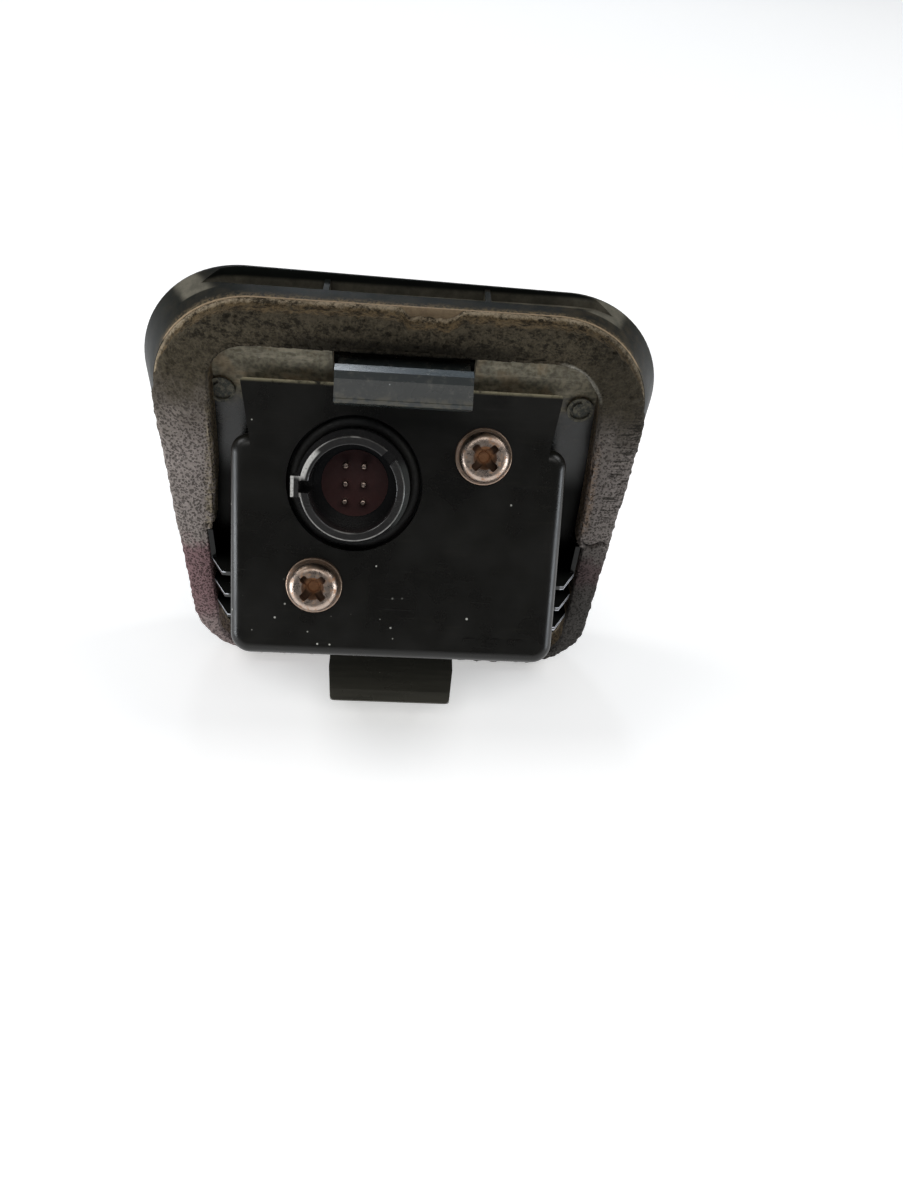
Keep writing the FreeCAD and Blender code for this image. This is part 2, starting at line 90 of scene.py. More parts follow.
# ---- camera, floor, light ---------------------------------------------------------------------
def aim(obj, target, roll_deg=0.0):
    """Point an object's -Z at the target, with its own X level and then rolled."""
    forward = (Vector(target) - obj.location).normalized()
    right = forward.cross(Vector((0, 0, 1))).normalized()
    up = right.cross(forward)
    turn = Matrix((right, up, -forward)).transposed()
    obj.rotation_euler = (turn @ Matrix.Rotation(math.radians(roll_deg), 3, "Z")).to_euler()


def add_camera():
    data = bpy.data.cameras.new("camera")
    data.lens = CAMERA_LENS
    data.clip_start = 0.005
    cam = bpy.data.objects.new("camera", data)
    cam.location = Vector(CAMERA_PLACE) * MM
    aim(cam, cam.location + Vector(CAMERA_DIRECTION), CAMERA_ROLL)
    bpy.context.scene.collection.objects.link(cam)
    bpy.context.scene.camera = cam


def soft_box(name, azimuth, elevation, distance, width, height, radiance, colour=(1, 1, 1)):
    """Area light aimed at the origin; azimuth 0 is in front of the lens (+Y), 90 is +X."""
    a, e = math.radians(azimuth), math.radians(elevation)
    towards = Vector((math.sin(a) * math.cos(e), math.cos(a) * math.cos(e), math.sin(e)))
    data = bpy.data.lights.new(name, "AREA")
    data.shape = "RECTANGLE"
    data.size, data.size_y = width, height
    data.energy = radiance * math.pi * width * height
    data.color = colour
    light = bpy.data.objects.new(name, data)
    light.location = towards * distance
    aim(light, (0, 0, 0))
    bpy.context.scene.collection.objects.link(light)


def add_light():
    world = bpy.data.worlds.new("world")
    bpy.context.scene.world = world
    world.use_nodes = True
    sky = world.node_tree.nodes["Background"]
    sky.inputs["Color"].default_value = SKY_COLOUR
    sky.inputs["Strength"].default_value = SKY_STRENGTH
    # azimuth, elevation, distance, width, height, radiance, colour
    soft_box("window_front", -9, 31, 0.9, 0.13, 0.14, 14.0, (0.86, 0.93, 1.0))
    soft_box("window_front_dim", 5, 31, 0.9, 0.24, 0.12, 1.3, (0.70, 0.86, 1.0))
    soft_box("ceiling_behind", 180, 57, 0.9, 1.0, 0.36, 1.7, (1.0, 0.98, 0.95))
    soft_box("ceiling_front", 10, 62, 1.0, 0.9, 0.4, 0.3)
    soft_box("panel_left", -112, 0.8, 0.24, 0.14, 0.054, 11.0, (0.92, 0.96, 1.0))
    soft_box("panel_right", 112, 0.8, 0.24, 0.12, 0.054, 9.0, (0.88, 0.94, 1.0))
    soft_box("lamp_left_high", -84, 50, 1.0, 0.5, 0.4, 5.0)
    soft_box("lamp_right_high", 84, 50, 1.0, 0.5, 0.4, 4.4)


def add_floor():
    mesh = bpy.data.meshes.new("floor")
    z = cad_bounds[0][2] - FLOOR_DROP
    s = FLOOR_REACH
    mesh.from_pydata([(-s, -s, z), (s, -s, z), (s, s, z), (-s, s, z)], [], [(0, 1, 2, 3)])
    floor = bpy.data.objects.new("floor", mesh)
    bpy.context.scene.collection.objects.link(floor)
    mat = bpy.data.materials.new("floor_paper")
    mat.use_nodes = True
    shader = mat.node_tree.nodes["Principled BSDF"]
    shader.inputs["Base Color"].default_value = (FLOOR_ALBEDO, FLOOR_ALBEDO, FLOOR_ALBEDO, 1)
    shader.inputs["Roughness"].default_value = 0.9
    shader.inputs["Emission Color"].default_value = (1.0, 1.0, 1.0, 1)
    shader.inputs["Emission Strength"].default_value = FLOOR_GLOW
    mesh.materials.append(mat)


# ---- material kit -----------------------------------------------------------------------------
def srgb(r, g, b):
    """Linear colour from 0-255 display values."""
    def one(v):
        v /= 255
        return v / 12.92 if v <= 0.04045 else ((v + 0.055) / 1.055) ** 2.4
    return (one(r), one(g), one(b), 1.0)


class Mat:
    """One procedural material; lengths in its calls are millimetres in the object's frame."""

    def __init__(self, name, roughness=0.5, **fixed):
        self.mat = bpy.data.materials.new(name)
        self.mat.use_nodes = True
        self.nodes, self.links = self.mat.node_tree.nodes, self.mat.node_tree.links
        self.shader = self.nodes["Principled BSDF"]
        self.shader.inputs["Roughness"].default_value = roughness
        for key, value in fixed.items():
            self.shader.inputs[key.replace("_", " ")].default_value = value
        place = self.nodes.new("ShaderNodeTexCoord").outputs["Object"]
        self.mm = self.vec("SCALE", place, scale=1000.0)
        self.x, self.y, self.z = self.split(self.mm)

    def put(self, socket, value):
        """Links a socket's value, or sets a constant."""
        if isinstance(value, bpy.types.NodeSocket):
            self.links.new(value, socket)
        else:
            socket.default_value = value

    def vec(self, op, a, b=None, scale=None):
        n = self.nodes.new("ShaderNodeVectorMath")
        n.operation = op
        self.put(n.inputs[0], a)
        if b is not None:
            self.put(n.inputs[1], b)
        if scale is not None:
            n.inputs["Scale"].default_value = scale
        return n.outputs["Value" if op in ("DOT_PRODUCT", "DISTANCE") else "Vector"]

    def split(self, v):
        n = self.nodes.new("ShaderNodeSeparateXYZ")
        self.put(n.inputs[0], v)
        return n.outputs

    def math(self, op, a, b=0.0, c=0.0):
        n = self.nodes.new("ShaderNodeMath")
        n.operation = op
        for socket, value in zip(n.inputs, (a, b, c)):
            self.put(socket, value)
        return n.outputs[0]

    def noise(self, size, detail=3.0, rough=0.55, stretch=(1, 1, 1)):
        n = self.nodes.new("ShaderNodeTexNoise")
        self.put(n.inputs["Vector"], self.vec("DIVIDE", self.mm, tuple(size * s for s in stretch)))
        n.inputs["Scale"].default_value = 1.0
        n.inputs["Detail"].default_value = detail
        n.inputs["Roughness"].default_value = rough
        return n.outputs[0]

    def cells(self, size, output="Distance", warp=0.0):
        """Voronoi spots; Distance is in units of the cell size."""
        n = self.nodes.new("ShaderNodeTexVoronoi")
        where = self.vec("DIVIDE", self.mm, (size,) * 3)
        if warp:
            shift = self.nodes.new("ShaderNodeTexNoise")
            self.put(shift.inputs["Vector"], where)
            shift.inputs["Scale"].default_value = 1.3
            where = self.vec("ADD", where, self.vec("SCALE", shift.outputs[1], scale=warp))
        self.put(n.inputs["Vector"], where)
        n.inputs["Scale"].default_value = 1.0
        return n.outputs[output]

    def ramp(self, value, lo, hi, out_lo=0.0, out_hi=1.0):
        """Smooth step from lo to hi."""
        n = self.nodes.new("ShaderNodeMapRange")
        n.interpolation_type = "SMOOTHSTEP"
        for socket, v in zip(list(n.inputs)[:5], (value, lo, hi, out_lo, out_hi)):
            self.put(socket, v)
        return n.outputs[0]

    def mix(self, fac, a, b):
        """Blend of two colours."""
        n = self.nodes.new("ShaderNodeMix")
        n.data_type = "RGBA"
        self.put(n.inputs[0], fac)
        self.put(n.inputs[6], a)
        self.put(n.inputs[7], b)
        return n.outputs[2]

    def lerp(self, fac, a, b):
        """Blend of two numbers."""
        n = self.nodes.new("ShaderNodeMix")
        self.put(n.inputs[0], fac)
        self.put(n.inputs[2], a)
        self.put(n.inputs[3], b)
        return n.outputs[0]

    def both(self, a, b):
        """Product of two masks, or a mask times a number."""
        return self.math("MULTIPLY", a, b)

    def larger(self, a, b):
        """The larger of two masks."""
        return self.math("MAXIMUM", a, b)

    def minus(self, a, b):
        """a less b."""
        return self.math("SUBTRACT", a, b)

    def absolute(self, a):
        """a without its sign."""
        return self.math("ABSOLUTE", a)

    def band(self, value, lo, lo_full, hi_full, hi):
        """1 between lo_full and hi_full, falling to 0 at lo and hi."""
        return self.both(self.ramp(value, lo, lo_full), self.ramp(value, hi, hi_full))

    def cover_axes(self):
        """(v, w) of the leaned rear cover: up its face, and out of it."""
        away = self.vec("SUBTRACT", self.mm, COVER_ORIGIN)
        return self.vec("DOT_PRODUCT", away, COVER_V), self.vec("DOT_PRODUCT", away, COVER_W)

    def normal(self):
        return self.split(self.nodes.new("ShaderNodeNewGeometry").outputs["Normal"])

    def upward(self):
        """How far the surface faces up, from -1 to 1."""
        return self.normal()[2]

    def backward(self, lo, hi):
        """Rises from 0 to 1 as the normal's Y goes from lo to hi."""
        return self.ramp(self.normal()[1], lo, hi)

    def specks(self, size, radius, share):
        """Sparse small dots: a share of the cells holds a dot of the given radius."""
        dot = self.ramp(self.cells(size), radius / size * 1.3, radius / size * 0.7)
        pick = self.ramp(self.split(self.cells(size, "Color"))[0], 1.0 - share, 1.0 - share + 0.01)
        return self.both(dot, pick)

    def bump(self, height, distance):
        n = self.nodes.new("ShaderNodeBump")
        n.inputs["Strength"].default_value = 1.0
        n.inputs["Distance"].default_value = distance * MM
        self.put(n.inputs["Height"], height)
        self.links.new(n.outputs[0], self.shader.inputs["Normal"])

    def colour(self, value):
        self.put(self.shader.inputs["Base Color"], value)

    def rough(self, value):
        self.put(self.shader.inputs["Roughness"], value)


DUST_TAN, DUST_OLIVE, DUST_GREY = srgb(150, 128, 98), srgb(104, 96, 76), srgb(116, 112, 102)


# ---- materials --------------------------------------------------------------------------------
def moulded_black(m, base, light, roughness, grain=0.07, grain_height=0.006):
    """Satin moulded plastic: faint cloudiness, fine grain and hairline scuffs along X. Gives the clouds."""
    cloud = m.noise(6.0, 4)
    scuff = m.ramp(m.noise(0.35, 3, 0.6, (14, 1, 1)), 0.62, 0.78)
    m.colour(m.mix(m.both(cloud, 0.6), base, light))
    gloss = m.ramp(cloud, 0.3, 0.7, roughness - 0.05, roughness + 0.07)
    m.rough(m.math("ADD", gloss, m.both(scuff, 0.12)))
    m.bump(m.math("ADD", m.noise(grain, 2), m.both(m.noise(1.2, 1), 0.8)), grain_height)
    return cloud


def cover_plastic():
    """Glossy black cover: hazy streaks, a tan line of dirt on its upper edge, pale flecks."""
    m = Mat("cover_plastic", Specular_IOR_Level=0.36)
    base, light = srgb(13, 12, 10), srgb(21, 20, 17)
    cloud = moulded_black(m, base, light, 0.29)
    v, w = m.cover_axes()
    haze = m.both(m.ramp(m.noise(0.5, 4, 0.6, (9, 1, 1)), 0.55, 0.80), 0.30)
    colour = m.mix(haze, m.mix(cloud, base, light), srgb(40, 39, 33))
    top_edge = m.both(m.ramp(v, 15.0, COVER_DIRT_V), m.ramp(m.noise(1.4, 4, 0.7), 0.30, 0.55))
    colour = m.mix(m.both(top_edge, 0.85), colour, srgb(140, 132, 108))
    lower_left = m.both(m.ramp(v, -5.0, -12.0), m.ramp(m.x, 5.0, -3.0))
    extra = m.both(lower_left, m.specks(1.3, 0.11, 0.65))
    fleck = m.larger(m.specks(2.0, 0.09, 0.45), m.specks(4.2, 0.16, 0.35))
    fleck = m.both(m.larger(fleck, extra), m.ramp(w, -2.0, -1.0))
    m.colour(m.mix(m.both(fleck, 0.9), colour, srgb(190, 190, 182)))
    return m.mat


def rib_edge_highlights(m, out):
    """Mask of the painted highlights on the side ribs' edges; both edges show on the right, the upper ones
    on the left.
    """
    edge = 0.0
    for z in RIB_Z:
        off = m.minus(m.z, z)
        near = m.absolute(m.minus(m.absolute(off), RIB_EDGE))
        shown = m.larger(m.ramp(off, -0.05, 0.05), m.ramp(m.x, 0.0, 1.0))
        edge = m.larger(edge, m.both(m.ramp(near, 0.14, 0.07), shown))
    edge = m.both(m.both(edge, m.backward(-0.35, -0.50)), m.ramp(out, 20.6, 20.9))
    return m.both(edge, m.ramp(m.noise(0.8, 3), 0.30, 0.55, 0.45, 1.0))


def housing_plastic():
    """Satin black: a film of dust on the upper flange and the box's top edge, painted highlights on the
    ribs' edges, painted shade between the foam and the box, a paler hook.
    """
    m = Mat("housing_plastic", Specular_IOR_Level=0.5)
    base, light = srgb(16, 17, 15), srgb(25, 26, 24)
    cloud = moulded_black(m, base, light, 0.27)
    colour = m.mix(cloud, base, light)
    facing = m.ramp(m.y, -1.5, 1.0)
    patch = m.noise(2.2, 5, 0.65)
    high = m.ramp(m.math("ADD", m.z, m.both(patch, 4.0)), 14.5, 18.5)
    dust = m.both(m.both(high, facing), m.ramp(patch, 0.25, 0.55, 0.65, 1.0))
    film = m.mix(m.ramp(m.noise(0.6, 4), 0.35, 0.65), srgb(96, 91, 76), srgb(136, 129, 110))
    streak = m.ramp(m.noise(0.7, 4, 0.7, (5, 1, 1)), 0.50, 0.66)
    film = m.mix(m.both(streak, 0.5), film, srgb(166, 158, 138))
    v, w = m.cover_axes()
    wiped = m.both(m.ramp(m.x, 9.0, 10.5), m.band(w, -4.6, -4.0, -2.9, -2.5))
    wiped = m.both(wiped, m.ramp(m.noise(1.2, 4, 0.6, (3, 1, 1)), 0.35, 0.55))
    dust = m.both(dust, m.minus(1.0, m.both(wiped, 0.6)))
    facing_up = m.ramp(m.upward(), 0.3, 0.6)
    brink = m.both(m.both(m.ramp(w, -2.75, -2.35), m.ramp(v, 14.6, 15.0)), facing_up)
    brink = m.both(brink, m.ramp(m.noise(0.7, 4, 0.75), 0.42, 0.58))
    film = m.mix(m.both(m.ramp(m.noise(3.5, 3), 0.5, 0.65), 0.4), film, DUST_TAN)
    side = m.both(m.ramp(m.noise(1.5, 4, 0.7), 0.5, 0.8), facing)
    mask = m.larger(dust, m.both(side, m.ramp(m.z, 6.0, 11.0, 0.0, 0.2)))
    colour = m.mix(mask, colour, film)
    colour = m.mix(m.both(brink, 0.85), colour, srgb(178, 164, 132))
    out = m.absolute(m.x)
    # painted highlights along the side ribs' edges
    colour = m.mix(rib_edge_highlights(m, out), colour, srgb(206, 208, 214))
    # deep shade between the foam and the box
    deep = m.both(m.both(m.ramp(m.z, 8.0, 3.0), m.ramp(out, 18.4, 18.8)), facing)
    colour = m.mix(deep, colour, srgb(8, 8, 7))
    m.put(m.shader.inputs["Metallic"], m.both(deep, 0.9))
    # the hook under the box, paler towards its lip
    hook = m.ramp(m.z, HOOK_SHADE_Z, HOOK_SHADE_Z - 0.6)
    lip = m.both(m.ramp(m.z, -22.2, -22.7), m.ramp(m.z, -23.9, -23.5))
    smear = m.ramp(m.noise(0.8, 4, 0.6, (10, 1, 1)), 0.3, 0.7, 0.7, 1.0)
    colour = m.mix(m.both(hook, smear), colour, m.mix(lip, srgb(78, 76, 68), srgb(138, 134, 120)))
    m.colour(m.mix(m.both(m.specks(1.3, 0.06, 0.35), 0.6), colour, srgb(170, 170, 160)))
    m.rough(m.lerp(mask, m.ramp(cloud, 0.3, 0.7, 0.24, 0.34), 0.85))
    return m.mat


def bezel_plastic():
    """Dull black front plate, dusty where it faces up and along the foam."""
    m = Mat("bezel_plastic", Specular_IOR_Level=0.12)
    base, light = srgb(17, 19, 17), srgb(25, 28, 26)
    cloud = moulded_black(m, base, light, 0.42)
    colour = m.mix(cloud, base, light)
    up = m.ramp(m.upward(), 0.15, 0.8)
    patch = m.noise(1.8, 5, 0.7)
    grains = m.ramp(m.noise(0.35, 4, 0.7), 0.35, 0.60)
    near_foam = m.both(m.ramp(m.math("ADD", m.y, m.both(patch, 1.4)), 4.9, 3.5), up)
    film = m.both(m.both(up, m.ramp(patch, 0.35, 0.75)), 0.08)
    right = m.both(m.both(m.ramp(m.x, 6.0, 14.0), up), m.ramp(patch, 0.40, 0.66, 0.02, 0.14))
    dust = m.larger(m.both(m.both(near_foam, grains), 0.75), m.larger(film, right))
    colour = m.mix(dust, colour, m.mix(m.noise(0.6, 3), DUST_OLIVE, DUST_TAN))
    # tan crust on the ledge under the torn foam; worn stakes, as grey as the flange round them
    ledge = m.both(m.band(m.y, 2.8, 2.95, 3.10, 3.25), m.ramp(m.z, 20.0, 21.0))
    colour = m.mix(m.both(ledge, m.ramp(grains, 0.0, 1.0, 0.8, 1.0)), colour, srgb(158, 138, 112))
    stakes = m.both(m.ramp(m.y, 2.85, 2.70), m.ramp(m.z, 12.0, 13.0))
    worn = m.mix(m.ramp(m.noise(0.45, 4, 0.75), 0.40, 0.62), srgb(62, 64, 60), srgb(112, 108, 94))
    colour = m.mix(m.both(stakes, 0.9), colour, worn)
    # dust in the long recess of the upper edge
    groove = m.both(m.band(m.y, 5.1, 5.3, 8.3, 8.6), m.ramp(m.z, 25.7, 25.2))
    groove = m.both(groove, m.ramp(m.z, 23.5, 24.2))
    colour = m.mix(m.both(groove, m.ramp(patch, 0.3, 0.7, 0.5, 0.95)), colour, srgb(112, 108, 96))
    m.colour(m.mix(m.both(m.specks(1.6, 0.05, 0.2), 0.5), colour, srgb(150, 150, 140)))
    m.rough(m.lerp(dust, m.ramp(cloud, 0.3, 0.7, 0.42, 0.52), 0.85))
    return m.mat


def latch_plastic():
    """Satin black with grey dust, dirtier at its tip and along its left side."""
    m = Mat("latch_plastic", Specular_IOR_Level=0.5)
    base, light = srgb(24, 28, 28), srgb(36, 41, 41)
    cloud = moulded_black(m, base, light, 0.24, 0.1, 0.004)
    dust = m.both(m.ramp(m.noise(1.0, 5, 0.75), 0.50, 0.8), 0.35)
    colour = m.mix(dust, m.mix(cloud, base, light), DUST_GREY)
    edge = m.both(m.ramp(m.y, -6.5, -7.0), m.ramp(m.noise(0.8, 3), 0.4, 0.6))
    colour = m.mix(m.both(edge, 0.25), colour, DUST_OLIVE)
    side = m.both(m.ramp(m.x, -8.05, -8.30), m.ramp(m.noise(0.6, 3), 0.3, 0.6))
    colour = m.mix(m.both(side, 0.6), colour, DUST_TAN)
    m.colour(m.mix(m.both(m.specks(1.2, 0.07, 0.25), 0.7), colour, srgb(175, 180, 180)))
    return m.mat


def seal_rubber():
    m = Mat("seal_rubber", 0.6)
    m.colour(m.mix(m.noise(1.0, 4), srgb(14, 14, 13), srgb(32, 31, 29)))
    m.rough(m.ramp(m.noise(0.4, 3), 0.3, 0.7, 0.5, 0.75))
    m.bump(m.noise(0.12, 3), 0.01)
    return m.mat


def screw_steel(node):
    """Tarnished steel head with rust in the recess; the head's middle comes from the CAD box."""
    lo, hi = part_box(node)
    middle = (Vector(lo) + Vector(hi)) / 2 / MM
    m = Mat("screw_steel_" + node.rsplit("_", 1)[1], Metallic=1.0)
    v, w = m.cover_axes()
    v0 = (middle - Vector(COVER_ORIGIN)).dot(Vector(COVER_V))
    across, along = m.minus(m.x, middle.x), m.minus(v, v0)
    squares = m.math("ADD", m.math("POWER", across, 2.0), m.math("POWER", along, 2.0))
    r = m.math("SQRT", squares)
    patch = m.noise(0.7, 5, 0.7)
    steel = m.mix(m.noise(0.35, 3), srgb(160, 140, 127), srgb(202, 187, 174))
    brown = m.mix(m.noise(0.25, 4), srgb(128, 86, 60), srgb(186, 138, 96))
    recess = m.both(m.ramp(r, 2.25, 1.95), m.ramp(w, 2.10, 2.00))
    # brown grime in patches; at the foot, where the flange meets the cover, it is deepened as painted shade
    foot = m.ramp(w, 0.55, 0.30)
    grime_and_shade = m.larger(m.both(m.ramp(patch, 0.50, 0.66), 0.75), m.both(foot, 0.55))
    tarnish = m.larger(recess, grime_and_shade)
    # painted shade: darker brown on the flange at the upper right, and round the head's upper side
    corner = m.math("ADD", across, along)
    shaded = m.both(m.both(m.ramp(corner, 0.5, 3.0), m.ramp(w, 1.7, 1.1)), 0.75)
    crown = m.both(m.ramp(along, 1.0, 2.0), 0.75)
    shaded = m.larger(shaded, m.both(crown, m.ramp(w, SCREW_TOP_W, 2.0)))
    brown = m.mix(m.both(recess, m.ramp(r, 0.7, 1.2)), brown, srgb(84, 60, 42))
    m.colour(m.mix(shaded, m.mix(tarnish, steel, brown), srgb(78, 66, 54)))
    m.put(m.shader.inputs["Metallic"], m.ramp(recess, 0.0, 1.0, 1.0, 0.35))
    m.rough(m.lerp(tarnish, m.ramp(patch, 0.3, 0.7, 0.24, 0.38), 0.62))
    m.bump(m.math("ADD", m.noise(0.12, 4), m.both(patch, 1.5)), 0.02)
    return m.mat


def connector_plastic():
    """Glossy black shell with specks of dust; painted highlights on its outer rim, inner rim and key, and a
    painted sheen on the right wall.
    """
    m = Mat("connector_plastic", Specular_IOR_Level=0.55)
    base, light = srgb(18, 17, 17), srgb(30, 28, 28)
    cloud = moulded_black(m, base, light, 0.22, 0.09, 0.005)
    dust = m.both(m.ramp(m.noise(0.8, 5, 0.75), 0.55, 0.8), 0.22)
    colour = m.mix(dust, m.mix(cloud, base, light), srgb(92, 88, 84))
    v, w = m.cover_axes()
    u, v = m.minus(m.x, SOCKET_X), m.minus(v, SOCKET_V)
    r = m.math("SQRT", m.math("ADD", m.both(u, u), m.both(v, v)))
    turn = m.math("ARCTAN2", v, u)
    lip = m.ramp(w, SOCKET_RIM_W - 0.35, SOCKET_RIM_W - 0.12)
    face = m.both(lip, m.ramp(m.noise(0.5, 3), 0.2, 0.8, 0.45, 0.8))
    colour = m.mix(face, colour, srgb(44, 43, 42))
    ring = m.both(lip, m.ramp(r, SOCKET_RIM_R - 0.20, SOCKET_RIM_R - 0.10))
    ring = m.both(ring, m.ramp(r, SOCKET_RIM_R + 0.12, SOCKET_RIM_R + 0.04))
    # painted highlight along the rim's outer edge, all round but for its top and upper right, where one
    # painted glint is left
    away = m.absolute(m.minus(turn, math.radians(71)))
    glint = m.ramp(m.absolute(m.minus(turn, math.radians(88))), 0.14, 0.04, 0.0, 0.7)
    ring = m.both(ring, m.larger(glint, m.ramp(away, 0.80, 1.05, 0.12, 0.8)))
    highlight_breakup = m.ramp(m.noise(0.9, 4, 0.6), 0.30, 0.62, 0.45, 1.0)
    colour = m.mix(m.both(ring, highlight_breakup), colour, srgb(146, 144, 140))
    # painted glare on the rim face by the key and on the key's outer wall
    near_key = m.band(turn, 2.28, 2.45, 2.90, 3.02)
    patch = m.both(m.both(near_key, lip), m.ramp(r, SOCKET_RIM_R - 0.6, SOCKET_RIM_R - 0.45))
    key = m.both(m.ramp(u, -6.08, -6.16), m.ramp(w, SOCKET_RIM_W - 0.5, SOCKET_RIM_W - 0.2))
    glare = m.both(m.larger(patch, key), m.ramp(m.noise(0.25, 3, 0.7), 0.30, 0.50, 0.5, 1.0))
    colour = m.mix(glare, colour, srgb(190, 188, 184))
    # painted highlight on the rim's inner edge, at the bottom
    inner = m.both(lip, m.ramp(r, SOCKET_RIM_R - 0.76, SOCKET_RIM_R - 0.84))
    inner = m.both(inner, m.ramp(m.absolute(m.math("ADD", turn, 1.75)), 0.35, 0.1))
    colour = m.mix(m.both(inner, 0.6), colour, srgb(130, 128, 125))
    # painted sheen on the tube's outer wall, at the right
    wall = m.both(m.both(m.ramp(u, 3.9, 4.8), m.ramp(r, 5.4, 5.5)), m.ramp(v, 3.4, 2.0))
    wall = m.both(wall, m.ramp(w, 1.0, 3.0, 0.25, 0.8))
    colour = m.mix(wall, colour, srgb(72, 74, 72))
    m.colour(m.mix(m.both(m.specks(0.9, 0.045, 0.25), 0.7), colour, srgb(180, 178, 172)))
    return m.mat


def insert_plastic():
    m = Mat("insert_plastic", 0.55)
    m.colour(m.mix(m.noise(1.2, 4), srgb(52, 20, 19), srgb(78, 34, 31)))
    m.rough(m.ramp(m.noise(0.5, 3), 0.3, 0.7, 0.42, 0.62))
    m.bump(m.noise(0.15, 3), 0.008)
    return m.mat


def pin_metal():
    m = Mat("pin_metal", 0.3, Metallic=1.0)
    m.colour(m.mix(m.noise(0.3, 3), srgb(150, 128, 116), srgb(206, 188, 176)))
    m.rough(m.ramp(m.noise(0.2, 2), 0.3, 0.7, 0.22, 0.42))
    m.bump(m.noise(0.1, 2), 0.006)
    return m.mat


def plain_part(name, dark, light, roughness, **fixed):
    """Shared finish of the sealed inner parts: two tones, worn gloss, fine grain."""
    grain, height = 0.3, 0.008
    m = Mat(name, roughness, **fixed)
    m.colour(m.mix(m.noise(grain * 4, 4), dark, light))
    m.rough(m.ramp(m.noise(grain * 2, 3), 0.3, 0.7, roughness * 0.8, min(1.0, roughness * 1.25)))
    m.bump(m.noise(grain, 3), height)
    return m


def board_laminate():
    """Green solder mask over parallel tracks, with round pads."""
    green = srgb(12, 52, 34), srgb(22, 78, 50)
    m = plain_part("board_laminate", *green, 0.38)
    v, _ = m.cover_axes()
    tracks = m.both(m.ramp(m.math("PINGPONG", v, 0.45), 0.30, 0.34), m.ramp(m.noise(3.0, 1), 0.48, 0.52))
    dots = m.specks(1.6, 0.22, 0.5)
    colour = m.mix(tracks, m.mix(m.noise(1.2, 4), *green), srgb(40, 112, 72))
    m.colour(m.mix(dots, colour, srgb(186, 178, 150)))
    return m.mat


def lens_glass():
    m = Mat("lens_glass", 0.03, IOR=1.6, Transmission_Weight=0.85)
    m.colour(m.mix(m.noise(4.0, 2), srgb(150, 140, 190), srgb(120, 160, 180)))
    m.rough(m.ramp(m.noise(0.6, 4, 0.7), 0.45, 0.75, 0.02, 0.10))
    m.bump(m.noise(0.5, 3), 0.0008)
    return m.mat


def barrel_aluminium():
    m = Mat("barrel_aluminium", 0.4, Metallic=1.0)
    turned = m.math("PINGPONG", m.cover_axes()[1], 0.06)
    m.colour(m.mix(m.noise(1.0, 3), srgb(44, 44, 46), srgb(66, 66, 70)))
    m.rough(m.ramp(m.noise(0.4, 3), 0.3, 0.7, 0.34, 0.5))
    m.bump(m.both(turned, 10.0), 0.01)
    return m.mat


